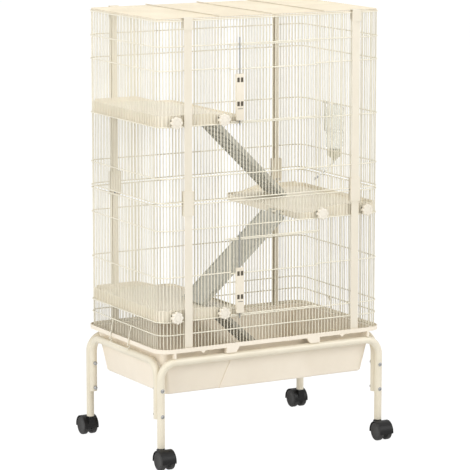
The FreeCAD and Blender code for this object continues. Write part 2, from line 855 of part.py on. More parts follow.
def caster_stems():
    foot = V(-leg_x, -leg_y, hood_top - stem_socket_depth + stem_bottom_gap)
    head = V(-leg_x, -leg_y, leg_bottom + insert_length)
    collar_low = V(-leg_x, -leg_y, hood_top + stem_collar_gap)
    body = rod(foot, head, stem_diameter)
    collar = rod(collar_low, collar_low + V(0, 0, stem_collar), stem_collar_diameter)
    return Part.makeCompound(at_posts(body.fuse(collar).removeSplitter()))


# Casters: built about the stem's axis, with the wheels trailing toward the front

wheel_inner = caster_web / 2 + wheel_side_gap
wheel_outer = wheel_inner + wheel_width
hood_half = wheel_outer + hood_overhang
well_radius = wheel_diameter / 2 + hood_play
hood_radius = well_radius + hood_sheet
axle_place = V(0, -caster_trail, axle_height)


def caster_hood():
    axle_line = V(-hood_half, -caster_trail, axle_height)
    shell = Part.makeCylinder(hood_radius, 2 * hood_half, axle_line, across)
    keep = box((-hood_half, hood_half), (-caster_trail - hood_radius, hood_radius - caster_trail),
               (axle_height - hood_skirt_drop, axle_height + hood_radius))
    shell = shell.common(keep)
    half = hood_boss_half_length
    top = hood_top
    shoulder = axle_height + hood_radius
    side = [V(0, -caster_trail, axle_height), V(0, -caster_trail, shoulder), V(0, -half, top)]
    side += [V(0, half, top), V(0, half, axle_height)]
    boss = prism([place - V(hood_boss_width / 2, 0, 0) for place in side], V(hood_boss_width, 0, 0))
    body = shell.fuse(boss)
    for sign in (-1, 1):
        well = rod(V(sign * caster_web / 2, -caster_trail, axle_height),
                   V(sign * hood_half, -caster_trail, axle_height), 2 * well_radius)
        body = body.cut(well)
    hub = rod(V(-caster_web / 2, -caster_trail, axle_height), V(caster_web / 2, -caster_trail, axle_height),
              wheel_hub_diameter)
    body = body.fuse(hub)
    axle_bore = rod(V(-hood_half, -caster_trail, axle_height), V(hood_half, -caster_trail, axle_height),
                    axle_diameter + 2 * axle_fit)
    stem_bore = rod(V(0, 0, top - stem_socket_depth), V(0, 0, top), stem_diameter + 2 * stem_play)
    return body.cut(axle_bore).cut(stem_bore).removeSplitter()


def caster_axle():
    head_in = wheel_outer - wheel_dish_depth + axle_head_gap
    line = [V(sign * (head_in + axle_head), -caster_trail, axle_height) for sign in (-1, 1)]
    body = rod(line[0], line[1], axle_diameter)
    for sign in (-1, 1):
        head = rod(V(sign * head_in, -caster_trail, axle_height),
                   V(sign * (head_in + axle_head), -caster_trail, axle_height), axle_head_diameter)
        body = body.fuse(head)
    return body.removeSplitter()


def caster_wheel(sign):
    # Round edges beside a tread band, and a dished outer face round a hub
    radius = wheel_diameter / 2 - tread_proud
    tread_top = wheel_diameter / 2 + tread_spare
    soft = wheel_round
    quarter = soft * math.sqrt(2) / 2
    bore = axle_diameter / 2 + wheel_play
    inner_soft = V(wheel_inner + soft - quarter, 0, radius - soft + quarter)
    outer_soft = V(wheel_outer - soft + quarter, 0, radius - soft + quarter)
    dish_face = wheel_outer - wheel_dish_depth
    spots = [V(wheel_inner, 0, bore), V(wheel_inner, 0, radius - soft), V(wheel_inner + soft, 0, radius)]
    spots += [V(wheel_outer - soft, 0, radius), V(wheel_outer, 0, radius - soft)]
    dish_radius = wheel_dish_diameter / 2
    spots += [V(wheel_outer, 0, dish_radius), V(dish_face, 0, dish_radius - wheel_dish_depth)]
    spots.append(V(dish_face, 0, bore))
    edges = [Part.makeLine(spots[0], spots[1]), Part.Arc(spots[1], inner_soft, spots[2]).toShape()]
    band = [spots[2], V(spots[2].x, 0, tread_top), V(spots[3].x, 0, tread_top), spots[3]]
    edges += [Part.makeLine(band[place], band[place + 1]) for place in range(3)]
    edges.append(Part.Arc(spots[3], outer_soft, spots[4]).toShape())
    edges += [Part.makeLine(spots[place], spots[place + 1]) for place in (4, 5, 6)]
    edges.append(Part.makeLine(spots[7], spots[0]))
    body = Part.Face(Part.Wire(edges)).revolve(V(0, 0, 0), across, 360)
    # Shallow flats round the tread, one of them level on the floor
    crest = wheel_diameter / 2 / math.cos(math.pi / tread_flats)
    turns = [2 * math.pi * (place + 0.5) / tread_flats for place in range(tread_flats)]
    corners = [V(wheel_inner - soft, crest * math.sin(turn), crest * math.cos(turn)) for turn in turns]
    body = body.common(prism(corners, across * (wheel_width + 2 * soft))).Solids[0]
    body.translate(axle_place)
    if sign < 0:
        body = mirrored(body, across)
    return body


# Tray

tray_top_x = leg_x - tube_diameter / 2 - tray_side_gap
tray_top_y = leg_y - tube_diameter / 2 - tray_front_gap - apron_relief


def tray_ring(height, inset, extra_y):
    share = (height - tray_bottom) / (ledge - tray_bottom)
    half_x = tray_top_x - tray_taper * (1 - share) - inset
    half_y = tray_top_y - tray_taper * (1 - share) - inset + extra_y
    radius = tray_base_radius + (tray_corner_radius - tray_base_radius) * share - inset
    return rounded_ring(half_x, half_y, radius, height)


def tray_body(inset, base, extra_y, top):
    bevel = base + tray_base_bevel
    rings = [tray_ring(base, inset + tray_base_bevel, extra_y), tray_ring(bevel, inset, extra_y)]
    rings.append(tray_ring(top, inset, extra_y))
    return Part.makeLoft(rings, True, True)


def tray():
    outer = tray_body(0, tray_bottom, 0, ledge)
    proud = tray_body(0, tray_bottom, apron_relief, lip_bottom)
    top_half = apron_top_width / 2
    base_half = apron_base_width / 2
    side = [V(-base_half, -lip_depth, tray_bottom), V(base_half, -lip_depth, tray_bottom)]
    side += [V(top_half, -lip_depth, lip_bottom), V(-top_half, -lip_depth, lip_bottom)]
    outer = outer.fuse(proud.common(prism(side, V(0, 2 * lip_depth, 0))))
    half_x = lip_width / 2
    half_y = lip_depth / 2
    rim = plate(half_x, half_y, lip_corner_radius, lip_bottom, lip_top)
    inner_x = half_x - tray_wall
    inner_y = half_y - tray_wall
    inner_radius = lip_corner_radius - tray_wall
    rim = rim.cut(plate(inner_x, inner_y, inner_radius, ledge, lip_top))
    under = plate(inner_x, inner_y, inner_radius, lip_bottom, ledge - tray_wall)
    rim = rim.cut(under)
    outer = outer.fuse([rim] + tray_feet())
    return outer.cut(tray_body(tray_wall, tray_floor, 0, ledge)).removeSplitter()


def tray_feet():
    front = -lip_depth / 2
    under = ledge - tray_wall
    wide = [V(tray_foot_inner, front, under), V(tray_foot_outer, front, under)]
    slant = tray_foot_inner + tray_foot_slant
    wide += [V(tray_foot_outer, front, tray_foot_bottom), V(slant, front, tray_foot_bottom)]
    tab_low = lip_bottom - rim_tab_drop
    tab = [V(rim_tab_center - rim_tab_width / 2, front, lip_bottom)]
    tab += [V(rim_tab_center + rim_tab_width / 2, front, lip_bottom), V(rim_tab_center, front, tab_low)]
    foot_x = (corner_foot_center - corner_foot_width / 2, corner_foot_center + corner_foot_width / 2)
    pieces = [prism(wide, V(0, tray_foot_depth, 0)), prism(tab, V(0, tray_wall, 0))]
    pieces.append(box(foot_x, (front, front + tray_foot_depth), (tray_foot_bottom, under)))
    whole = []
    for piece in pieces:
        whole += at_posts(piece)
    return whole


# Bails: two eyes on the tie rail, and a wire that passes the lip, hooks under it and ends in a finger bar

def bail():
    eye_outer = rail_diameter + 2 * bail_eye_play + 2 * bail_eye_sheet
    leg = lip_width / 2 + bail_lip_gap + bail_wire / 2
    hook = lip_bottom - bail_hook_gap - bail_wire / 2
    hook_x = lip_width / 2 - bail_hook_in
    neck_x = rail_half_x + rail_radius + bail_eye_play + bail_eye_sheet / 2
    ends = [side_pitch * bail_front_gap, side_pitch * bail_back_gap]
    side = [(neck_x, tie_rail), (leg, hook - bail_hook_dip), (hook_x, hook), (leg, hook - bail_pull_drop)]
    places = [V(x, ends[0], height) for x, height in side]
    places += [V(x, ends[1], height) for x, height in reversed(side)]
    body = bent_rod(places, bail_bend, bail_wire)
    bore = rail_diameter + 2 * bail_eye_play
    for y in ends:
        base = V(rail_half_x, y - bail_eye_width / 2, tie_rail)
        eye = Part.makeCylinder(eye_outer / 2, bail_eye_width, base, deep)
        body = body.fuse(eye)
    for y in ends:
        base = V(rail_half_x, y - bail_eye_width / 2, tie_rail)
        body = body.cut(Part.makeCylinder(bore / 2, bail_eye_width, base, deep))
    return body.removeSplitter()


# Bottle

bottle_y = side_pitch * bottle_gap
bottle_x = cage_width / 2 + bottle_wall_gap + bottle_diameter / 2
bottle_base = high_base_rail + bottle_rise
neck_base = bottle_base - neck_length
cap_base = neck_base - cap_sheet - neck_cap_play
cap_low = cap_base - cap_funnel_height - cap_nose_length


def turned(points):
    face = Part.Face(Part.makePolygon([V(r, 0, z) for r, z in points + points[:1]]))
    body = face.revolve(V(0, 0, 0), up, 360)
    body.translate(V(bottle_x, bottle_y, 0))
    return body


def bottle_body():
    radius = bottle_diameter / 2
    neck = neck_diameter / 2
    top = bottle_base + bottle_height
    sheet = bottle_wall
    outline = [(neck - sheet, neck_base), (neck, neck_base), (neck, bottle_base)]
    outline += [(radius, bottle_base + bottle_shoulder), (radius, top - bottle_shoulder)]
    outline += [(radius - bottle_shoulder, top), (0, top), (0, top - sheet)]
    outline += [(radius - bottle_shoulder, top - sheet), (radius - sheet, top - bottle_shoulder)]
    outline += [(radius - sheet, bottle_base + bottle_shoulder), (neck - sheet, bottle_base)]
    return turned(outline)


def bottle_cap():
    inner = neck_diameter / 2 + neck_cap_play
    outer = cap_diameter / 2
    nose = cap_nose_diameter / 2
    bore = spout_diameter / 2 + neck_cap_play
    outline = [(bore, cap_low), (nose, cap_low), (nose, cap_low + cap_nose_length), (outer, cap_base)]
    outline += [(outer, bottle_base - neck_cap_play), (inner, bottle_base - neck_cap_play)]
    outline += [(inner, cap_base + cap_sheet), (bore, cap_base + cap_sheet)]
    return turned(outline)


def bottle_spout():
    start = V(bottle_x, bottle_y, neck_base + spout_top_gap)
    turn = V(bottle_x, bottle_y, cap_low - spout_turn_drop)
    tip = V(rail_half_x - spout_reach, bottle_y, turn.z - spout_tip_drop)
    path = bent_path([start, turn, tip], spout_bend)
    body = swept(path, spout_diameter).cut(swept(path, spout_diameter - 2 * spout_wall))
    back = (turn - tip).normalize()
    ball = Part.makeSphere(spout_ball_diameter / 2, tip + back * spout_ball_sink)
    return Part.makeCompound([body, ball])


def bottle_hanger():
    height = bottle_base + hanger_rise
    loop_radius = bottle_diameter / 2 + hanger_play + hanger_wire / 2
    loop = Part.makeTorus(loop_radius, hanger_wire / 2, V(bottle_x, bottle_y, height), up)
    arm_x = rail_half_x + rail_radius + hanger_rail_play + hanger_wire / 2
    hook_x = rail_half_x - rail_radius - hanger_rail_play - hanger_wire / 2
    top = high_deck + rail_radius + hanger_rail_play + hanger_wire / 2
    body = loop
    for side in (-1, 1):
        y = bottle_y + side * side_pitch
        loop_x = bottle_x - math.sqrt(loop_radius ** 2 - side_pitch ** 2)
        places = [V(loop_x, y, height), V(arm_x, y, height + hanger_bend), V(arm_x, y, top)]
        places += [V(hook_x, y, top), V(hook_x, y, top - hanger_hook_drop)]
        body = body.fuse(bent_rod(places, hanger_rail_play + hanger_wire / 2, hanger_wire))
    return body.removeSplitter()


# Everything in its place

parts = {}
low_rails = [base_rail, tie_rail, low_deck, low_mid_rail, mid_deck, low_top_rail]
high_rails = [high_base_rail, high_low_rail, high_deck, high_mid_rail, head_rail, top_rail]
low_head = low_deck + door_opening_height

parts["stand_front_frame"] = long_frame(-leg_y)
parts["stand_back_frame"] = long_frame(leg_y)
parts["stand_left_frame"] = short_frame(-leg_x)
parts["stand_right_frame"] = short_frame(leg_x)
parts["stand_bolts"] = frame_bolts()
parts["stand_leg_plugs"] = leg_plugs()
parts["stand_leg_inserts"] = leg_inserts()
parts["caster_stems"] = caster_stems()

caster_pieces = {"hood": caster_hood(), "axle": caster_axle()}
caster_pieces["wheel_left"] = caster_wheel(-1)
caster_pieces["wheel_right"] = caster_wheel(1)
for end_name, end in (("front", -1), ("back", 1)):
    for side_name, side in (("left", -1), ("right", 1)):
        for piece_name, shape in caster_pieces.items():
            placed = shape.copy()
            if end > 0:
                placed = mirrored(placed, deep)
            placed.translate(V(side * leg_x, end * leg_y, 0))
            parts["caster_" + end_name + "_" + side_name + "_" + piece_name] = placed

parts["tray"] = tray()
parts["panel_low_right"] = side_panel(panel_base, low_tier_top, low_rails)
parts["panel_low_left"] = mirrored(parts["panel_low_right"], across)
parts["panel_low_back"] = back_panel(panel_base, low_tier_top, low_rails)
parts["panel_high_right"] = side_panel(high_tier_base, high_tier_top, high_rails)
parts["panel_high_left"] = mirrored(parts["panel_high_right"], across)
parts["panel_high_back"] = back_panel(high_tier_base, high_tier_top, high_rails)

low_full = [base_rail, tie_rail, low_deck, mid_deck, low_top_rail]
high_full = [high_base_rail, high_low_rail, high_deck, head_rail, top_rail]
low_front = front_panel(panel_base, low_tier_top, low_full, [low_mid_rail], low_deck, low_head)
high_front = front_panel(high_tier_base, high_tier_top, high_full, [high_mid_rail], high_deck, head_rail)
parts["panel_low_front"] = low_front
parts["panel_high_front"] = high_front
parts["panel_roof"] = roof_panel()
parts["door_low"] = door(low_deck, low_head, low_mid_rail)
parts["door_high"] = door(high_deck, head_rail, high_mid_rail)
parts["latch_low"] = latch(low_deck, low_mid_rail)
parts["latch_high"] = latch(high_deck, high_mid_rail)

joint_height = (low_tier_top + high_tier_base) / 2
posts = at_posts(post(panel_base, joint_height)) + at_posts(post(joint_height, high_tier_top))
parts["posts"] = Part.makeCompound(posts)
outer_half = sleeve_half(-post_face, -groove_outer - post_play / 2, 1, post_width)
inner_half = sleeve_half(-post_back, -groove_inner + post_play / 2, -1, post_inner_width)
parts["post_sleeves"] = Part.makeCompound(at_posts(outer_half) + at_posts(inner_half))
parts["post_caps"] = Part.makeCompound(at_posts(post_cap()))

deck_plan = [("high", high_deck, -1, back_ramp_center, high_ramp_slope, mid_deck + deck_floor_rise)]
deck_plan.append(("mid", mid_deck, 1, front_ramp_center, mid_ramp_slope, low_deck + deck_floor_rise))
deck_plan.append(("low", low_deck, -1, back_ramp_center, low_ramp_slope, tray_floor))
for name, base, side, ramp_y, slope, landing in deck_plan:
    shelf = deck(ramp_y)
    knob_places = [("inner", left_knob_x), ("outer", return_knob_x)]
    if side > 0:
        shelf = mirrored(shelf, across)
    shelf.translate(V(0, 0, base))
    parts["shelf_" + name] = shelf
    for place_name, x in knob_places:
        parts["knob_" + name + "_" + place_name] = knob(-side * x, base + knob_rise)
    pivot = V(-side * pivot_x, ramp_y, base + pivot_rise)
    parts["ramp_" + name] = ramp(slope, pivot.z - landing, -side, pivot)

parts["bail_right"] = bail()
parts["bail_left"] = mirrored(parts["bail_right"], across)
parts["bottle_body"] = bottle_body()
parts["bottle_cap"] = bottle_cap()
parts["bottle_spout"] = bottle_spout()
parts["bottle_hanger"] = bottle_hanger()

os.makedirs("parts", exist_ok=True)
for name, shape in parts.items():
    shape.exportStep("parts/" + name + ".step")
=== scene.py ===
import bpy
import json
import math
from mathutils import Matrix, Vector


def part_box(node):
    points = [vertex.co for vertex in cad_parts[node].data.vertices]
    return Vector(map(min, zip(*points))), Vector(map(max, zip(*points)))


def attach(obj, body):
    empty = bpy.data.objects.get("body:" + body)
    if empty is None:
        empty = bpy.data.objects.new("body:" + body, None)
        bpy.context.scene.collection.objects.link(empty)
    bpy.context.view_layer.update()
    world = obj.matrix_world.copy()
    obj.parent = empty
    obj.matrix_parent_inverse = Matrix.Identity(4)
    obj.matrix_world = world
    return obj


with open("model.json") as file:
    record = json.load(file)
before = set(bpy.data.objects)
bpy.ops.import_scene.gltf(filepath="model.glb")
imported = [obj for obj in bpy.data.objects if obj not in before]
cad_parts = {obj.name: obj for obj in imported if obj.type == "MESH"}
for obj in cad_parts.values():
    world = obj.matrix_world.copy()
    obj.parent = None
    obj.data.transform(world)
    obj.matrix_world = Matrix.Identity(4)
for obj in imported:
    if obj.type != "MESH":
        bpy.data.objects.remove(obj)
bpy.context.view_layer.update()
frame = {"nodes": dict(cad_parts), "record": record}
nodes = frame["nodes"]
scene = bpy.context.scene
scene.view_settings.view_transform = "Standard"


# Finishes. Every pattern is laid on the object's own coordinates, in metres.

def finish_shell(name):
    material = bpy.data.materials.new(name)
    material.use_nodes = True
    tree = material.node_tree
    return material, tree, tree.nodes["Principled BSDF"]


def place_noise(tree, scale, detail, roughness):
    place = tree.nodes.new("ShaderNodeTexCoord")
    noise = tree.nodes.new("ShaderNodeTexNoise")
    noise.inputs["Scale"].default_value = scale
    noise.inputs["Detail"].default_value = detail
    noise.inputs["Roughness"].default_value = roughness
    tree.links.new(place.outputs["Object"], noise.inputs["Vector"])
    return noise


def colour_between(tree, source, shader, darker, lighter, low, high):
    ramp = tree.nodes.new("ShaderNodeValToRGB")
    ramp.color_ramp.elements[0].position = low
    ramp.color_ramp.elements[0].color = (*darker, 1)
    ramp.color_ramp.elements[1].position = high
    ramp.color_ramp.elements[1].color = (*lighter, 1)
    tree.links.new(source.outputs["Fac"], ramp.inputs["Fac"])
    tree.links.new(ramp.outputs["Color"], shader.inputs["Base Color"])


def roughness_between(tree, source, shader, low, high):
    spread = tree.nodes.new("ShaderNodeMapRange")
    spread.inputs["To Min"].default_value = low
    spread.inputs["To Max"].default_value = high
    tree.links.new(source.outputs["Fac"], spread.inputs["Value"])
    tree.links.new(spread.outputs["Result"], shader.inputs["Roughness"])


def grain(tree, shader, scale, detail, strength, depth):
    noise = place_noise(tree, scale, detail, 0.5)
    bump = tree.nodes.new("ShaderNodeBump")
    bump.inputs["Strength"].default_value = strength
    bump.inputs["Distance"].default_value = depth
    tree.links.new(noise.outputs["Fac"], bump.inputs["Height"])
    tree.links.new(bump.outputs["Normal"], shader.inputs["Normal"])


def linear(red, green, blue):
    def channel(value):
        share = value / 255
        return share / 12.92 if share <= 0.04045 else ((share + 0.055) / 1.055) ** 2.4
    return channel(red), channel(green), channel(blue)


def powder_coat(name, darker, lighter):
    # Baked powder: a soft orange peel and a very slight change of tone
    material, tree, shader = finish_shell(name)
    tone = place_noise(tree, 9, 3, 0.55)
    colour_between(tree, tone, shader, darker, lighter, 0.3, 0.7)
    roughness_between(tree, tone, shader, 0.32, 0.46)
    grain(tree, shader, 900, 2, 0.12, 0.0003)
    shader.inputs["Specular IOR Level"].default_value = 0.45
    return material


def moulded_plastic(name, darker, lighter, rough_low, rough_high, grain_scale, grain_strength, gloss=0.4):
    # Injection moulded: fine spark grain, with flow marks that hardly show
    material, tree, shader = finish_shell(name)
    flow = place_noise(tree, 5, 4, 0.6)
    colour_between(tree, flow, shader, darker, lighter, 0.3, 0.72)
    roughness_between(tree, flow, shader, rough_low, rough_high)
    grain(tree, shader, grain_scale, 3, grain_strength, 0.0002)
    shader.inputs["Specular IOR Level"].default_value = gloss
    return material


def plated_steel(name, darker, lighter):
    material, tree, shader = finish_shell(name)
    bloom = place_noise(tree, 160, 5, 0.65)
    colour_between(tree, bloom, shader, darker, lighter, 0.35, 0.68)
    roughness_between(tree, bloom, shader, 0.24, 0.42)
    shader.inputs["Metallic"].default_value = 1
    return material


rod_dark_grey = (0.3, 0.3, 0.28)


def coat_and_rod(name, darker, lighter, rod_front):
    # The doors' coat, with a dark grey on the guide rod, which alone stands forward of the rails
    material = powder_coat(name, darker, lighter)
    tree = material.node_tree
    shader = tree.nodes["Principled BSDF"]
    coat = shader.inputs["Base Color"].links[0].from_socket
    place = tree.nodes.new("ShaderNodeTexCoord")
    parts = tree.nodes.new("ShaderNodeSeparateXYZ")
    forward = tree.nodes.new("ShaderNodeMath")
    forward.operation = "LESS_THAN"
    forward.inputs[1].default_value = rod_front
    blend = tree.nodes.new("ShaderNodeMixRGB")
    blend.inputs["Color2"].default_value = (*rod_dark_grey, 1)
    tree.links.new(place.outputs["Object"], parts.inputs["Vector"])
    tree.links.new(parts.outputs["Y"], forward.inputs[0])
    tree.links.new(forward.outputs["Value"], blend.inputs["Fac"])
    tree.links.new(coat, blend.inputs["Color1"])
    tree.links.new(blend.outputs["Color"], shader.inputs["Base Color"])
    return material


def clear_bottle(name):
    material, tree, shader = finish_shell(name)
    haze = place_noise(tree, 40, 3, 0.5)
    colour_between(tree, haze, shader, linear(248, 249, 246), linear(254, 255, 253), 0.3, 0.7)
    roughness_between(tree, haze, shader, 0.05, 0.14)
    shader.inputs["Transmission Weight"].default_value = 0.84
    shader.inputs["IOR"].default_value = 1.08
    return material


def dark_rubber(name, darker, lighter):
    material, tree, shader = finish_shell(name)
    bloom = place_noise(tree, 220, 4, 0.6)
    colour_between(tree, bloom, shader, darker, lighter, 0.3, 0.7)
    roughness_between(tree, bloom, shader, 0.6, 0.8)
    grain(tree, shader, 2500, 2, 0.2, 0.0001)
    shader.inputs["Specular IOR Level"].default_value = 0.3
    return material


wire_tones = (linear(231, 225, 206), linear(241, 235, 217))
finishes = {
    "tube_coating": powder_coat("stand_powder_coat", linear(229, 220, 198), linear(238, 230, 210)),
    "wire_coating": powder_coat("wire_powder_coat", *wire_tones),
    "latch_coating": powder_coat("latch_powder_coat", linear(232, 222, 202), linear(243, 234, 216)),
    "post_plastic": moulded_plastic("post_plastic", linear(230, 221, 202), linear(239, 231, 214),
                                    0.38, 0.5, 1400, 0.08),
    "tray_plastic": moulded_plastic("tray_plastic", linear(242, 231, 212), linear(250, 240, 223),
                                    0.36, 0.5, 1100, 0.12),
    "shelf_plastic": moulded_plastic("shelf_plastic", linear(236, 228, 209), linear(245, 237, 220),
                                     0.38, 0.52, 1100, 0.12),
    "knob_plastic": moulded_plastic("knob_plastic", linear(236, 228, 212), linear(244, 237, 223),
                                    0.34, 0.46, 1500, 0.08),
    "ramp_plastic": moulded_plastic("ramp_plastic", linear(180, 179, 169), linear(196, 195, 185),
                                    0.48, 0.62, 1000, 0.18),
    "caster_plastic": moulded_plastic("caster_plastic", linear(17, 17, 17), linear(26, 25, 25),
                                      0.38, 0.5, 1200, 0.1, 0.24),
    "wheel_plastic": moulded_plastic("wheel_plastic", linear(48, 47, 46), linear(60, 59, 58),
                                     0.45, 0.58, 1200, 0.14, 0.24),
    "insert_plastic": moulded_plastic("insert_plastic", linear(38, 37, 36), linear(50, 49, 47),
                                      0.45, 0.6, 1200, 0.14),
    "bright_steel": plated_steel("zinc_plate", (0.3, 0.3, 0.3), (0.46, 0.46, 0.45)),
    "axle_steel": plated_steel("axle_steel", (0.3, 0.3, 0.3), (0.5, 0.5, 0.5)),
    "bottle_clear": clear_bottle("clear_bottle"),
    "bottle_cap_plastic": moulded_plastic("cap_plastic", linear(176, 173, 148), linear(192, 188, 163),
                                          0.4, 0.55, 1200, 0.12),
}
# Dark finish of painted shade, for the discs behind the knobs and the latches' fold lines
painted_shade_dark = dark_rubber("painted_shade_dark", linear(50, 47, 40), linear(66, 62, 54))
# Painted shade for the dark inside of the latches' windows
window_painted_shade = dark_rubber("window_painted_shade", linear(84, 77, 66), linear(102, 94, 81))


def paint(piece, material):
    piece.data.materials.clear()
    piece.data.materials.append(material)


for entry in frame["record"]["subparts"]:
    paint(nodes[entry["node"]], finishes[entry["material_slot"]])
bottle_steel = plated_steel("bottle_steel", (0.6, 0.6, 0.58), (0.76, 0.76, 0.74))
paint(nodes["bottle_spout"], bottle_steel)
paint(nodes["bottle_hanger"], bottle_steel)
rod_front = -0.2502
door_coat = coat_and_rod("door_powder_coat", *wire_tones, rod_front)
paint(nodes["door_low"], door_coat)
paint(nodes["door_high"], door_coat)
# The roof's wires get a darker, deeper cream than the same coat elsewhere: painted shade that holds back
# the light from above
paint(nodes["panel_roof"], powder_coat("roof_coat_painted_shade", linear(223, 212, 189), linear(233, 222, 200)))


# Small pieces, each modelled once where it first belongs and copied to its other places

def pick_only(piece):
    bpy.ops.object.select_all(action="DESELECT")
    piece.select_set(True)
    bpy.context.view_layer.objects.active = piece


def begin_turned(name, sides, radius, length, middle, turn):
    # A round blank, laid along one axis of the object
    bpy.ops.object.select_all(action="DESELECT")
    bpy.ops.mesh.primitive_cylinder_add(vertices=sides, radius=radius, depth=length, location=middle,
                                        rotation=turn)
    piece = bpy.context.active_object
    piece.name = name
    bpy.ops.object.transform_apply(location=True, rotation=True, scale=True)
    return piece


def begin_bar(name, size, middle):
    bpy.ops.object.select_all(action="DESELECT")
    bpy.ops.mesh.primitive_cube_add(size=1, location=middle)
    piece = bpy.context.active_object
    piece.name = name
    piece.scale = size
    bpy.ops.object.transform_apply(location=True, rotation=True, scale=True)
    return piece


def select_faces(piece, wanted):
    bpy.ops.object.mode_set(mode="EDIT")
    bpy.ops.mesh.select_mode(type="FACE")
    bpy.ops.mesh.select_all(action="DESELECT")
    bpy.ops.object.mode_set(mode="OBJECT")
    for face in piece.data.polygons:
        face.select = wanted(face.center, face.normal)
    bpy.ops.object.mode_set(mode="EDIT")


def select_edges(piece, wanted):
    bpy.ops.object.mode_set(mode="EDIT")
    bpy.ops.mesh.select_mode(type="EDGE")
    bpy.ops.mesh.select_all(action="DESELECT")
    bpy.ops.object.mode_set(mode="OBJECT")
    spots = piece.data.vertices
    for edge in piece.data.edges:
        first, last = (spots[index].co for index in edge.vertices)
        edge.select = wanted(first, last)
    bpy.ops.object.mode_set(mode="EDIT")


def done(piece, body, material, smooth_angle=35):
    bpy.ops.object.mode_set(mode="OBJECT")
    pick_only(piece)
    bpy.ops.object.shade_smooth_by_angle(angle=math.radians(smooth_angle))
    paint(piece, material)
    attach(piece, body)


def copy_to(piece, name, shift, body):
    # A copy with its own mesh, set down by its shift from the first
    pick_only(piece)
    bpy.ops.object.duplicate(linked=False)
    copy = bpy.context.active_object
    copy.name = name
    copy.location = shift
    bpy.ops.object.transform_apply(location=True, rotation=False, scale=False)
    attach(copy, body)
    return copy


def middle_of(node):
    low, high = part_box(node)
    return (low + high) / 2


along_x = (0, math.pi / 2, 0)
along_y = (math.pi / 2, 0, 0)


# Dark discs on the knobs' studs, between the shelves and the wires: painted shade for the shadow behind
# each knob

def knob_shade_disc(middle):
    radius = 0.0135
    thickness = 0.0024
    band = 0.0102
    soft_edge = 0.0006
    piece = begin_turned("knob_shade_disc", 40, radius, thickness, middle, along_y)
    select_faces(piece, lambda place, normal: abs(normal.y) > 0.9)
    bpy.ops.mesh.inset(thickness=band)
    bpy.ops.mesh.bridge_edge_loops()

    def outer_rim(first, last):
        reach = [Vector((spot.x - middle.x, 0, spot.z - middle.z)).length for spot in (first, last)]
        return min(reach) > radius * 0.98 and abs(first.y - last.y) < 0.0001
    select_edges(piece, outer_rim)
    bpy.ops.mesh.bevel(offset=soft_edge, segments=3, profile=0.5)
    done(piece, "cage", painted_shade_dark)
    return piece


shelf_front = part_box("shelf_high")[0].y
shade_disc_first = middle_of("knob_high_inner")
shade_disc_first.y = shelf_front - 0.0015
shade_disc = knob_shade_disc(shade_disc_first)
for deck in ("high", "mid", "low"):
    for place in ("inner", "outer"):
        if (deck, place) != ("high", "inner"):
            shift = middle_of("knob_" + deck + "_" + place) - shade_disc_first
            shift.y = 0
            copy_to(shade_disc, "knob_shade_disc_" + deck + "_" + place, shift, "cage")


# Caps that close the knobs' dishes

def knob_cap(middle):
    radius = 0.0096
    thickness = 0.0012
    rim_band = 0.0026
    rim_rise = 0.0003
    crown_band = 0.0035
    crown_rise = 0.0001
    piece = begin_turned("knob_cap", 48, radius, thickness, middle, along_y)
    select_faces(piece, lambda place, normal: normal.y < -0.9)
    bpy.ops.mesh.inset(thickness=rim_band)
    bpy.ops.transform.translate(value=(0, -rim_rise, 0))
    bpy.ops.mesh.inset(thickness=crown_band)
    bpy.ops.transform.translate(value=(0, -crown_rise, 0))

    def front_rim(first, last):
        front = middle.y - thickness / 2
        return abs(first.y - front) < 0.00005 and abs(last.y - front) < 0.00005
    select_edges(piece, front_rim)
    bpy.ops.mesh.bevel(offset=rim_rise, segments=2, profile=0.5)
    done(piece, "knob_high_inner", finishes["knob_plastic"], 50)
    return piece


knob_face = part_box("knob_high_inner")[0].y
cap_first = middle_of("knob_high_inner")
cap_first.y = knob_face + 0.0009
cap = knob_cap(cap_first)
for deck in ("high", "mid", "low"):
    for place in ("inner", "outer"):
        if (deck, place) != ("high", "inner"):
            knob = "knob_" + deck + "_" + place
            shift = middle_of(knob) - cap_first
            shift.y = 0
            copy_to(cap, "knob_cap_" + deck + "_" + place, shift, knob)


# Broad covers set in the wheels' outer faces, hollow over the axles' heads

def wheel_cover(wheel, side):
    low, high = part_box(wheel)
    face = high.x if side > 0 else low.x
    axle = (low + high) / 2
    radius = 0.0197
    depth = 0.0026
    sunk = 0.0003
    flare = 1.125
    back_band = 0.0136
    hollow = 0.0018
    groove_band = 0.0022
    groove_width = 0.0008
    middle = Vector((face - side * (sunk + depth / 2), axle.y, axle.z))
    piece = begin_turned("wheel_cover_" + wheel, 56, radius, depth, middle, along_x)
    select_faces(piece, lambda place, normal: normal.x * side > 0.9)
    bpy.ops.transform.resize(value=(1, flare, flare), center_override=middle)
    select_faces(piece, lambda place, normal: normal.x * side < -0.9)
    bpy.ops.mesh.inset(thickness=back_band)
    bpy.ops.mesh.extrude_region_move(TRANSFORM_OT_translate={"value": (side * hollow, 0, 0)})

    def outer_face(place, normal):
        return normal.x * side > 0.9 and (place.x - middle.x) * side > 0.001
    select_faces(piece, outer_face)
    bpy.ops.mesh.inset(thickness=groove_band)
    bpy.ops.mesh.inset(thickness=groove_width)
    bpy.ops.transform.translate(value=(-side * sunk, 0, 0))

    def front_rim(first, last):
        front = middle.x + side * depth / 2
        reach = [Vector((0, spot.y - axle.y, spot.z - axle.z)).length for spot in (first, last)]
        level = max(abs(first.x - front), abs(last.x - front)) < 0.00005
        return min(reach) > radius * 1.12 and level
    select_edges(piece, front_rim)
    bpy.ops.mesh.bevel(offset=0.0006, segments=3, profile=0.5)
    done(piece, wheel, finishes["wheel_plastic"])


for end in ("front", "back"):
    for side in ("left", "right"):
        for wheel_side, outward in (("left", -1), ("right", 1)):
            wheel_cover("caster_" + end + "_" + side + "_wheel_" + wheel_side, outward)


# Screws that close the sleeves from inside the cage

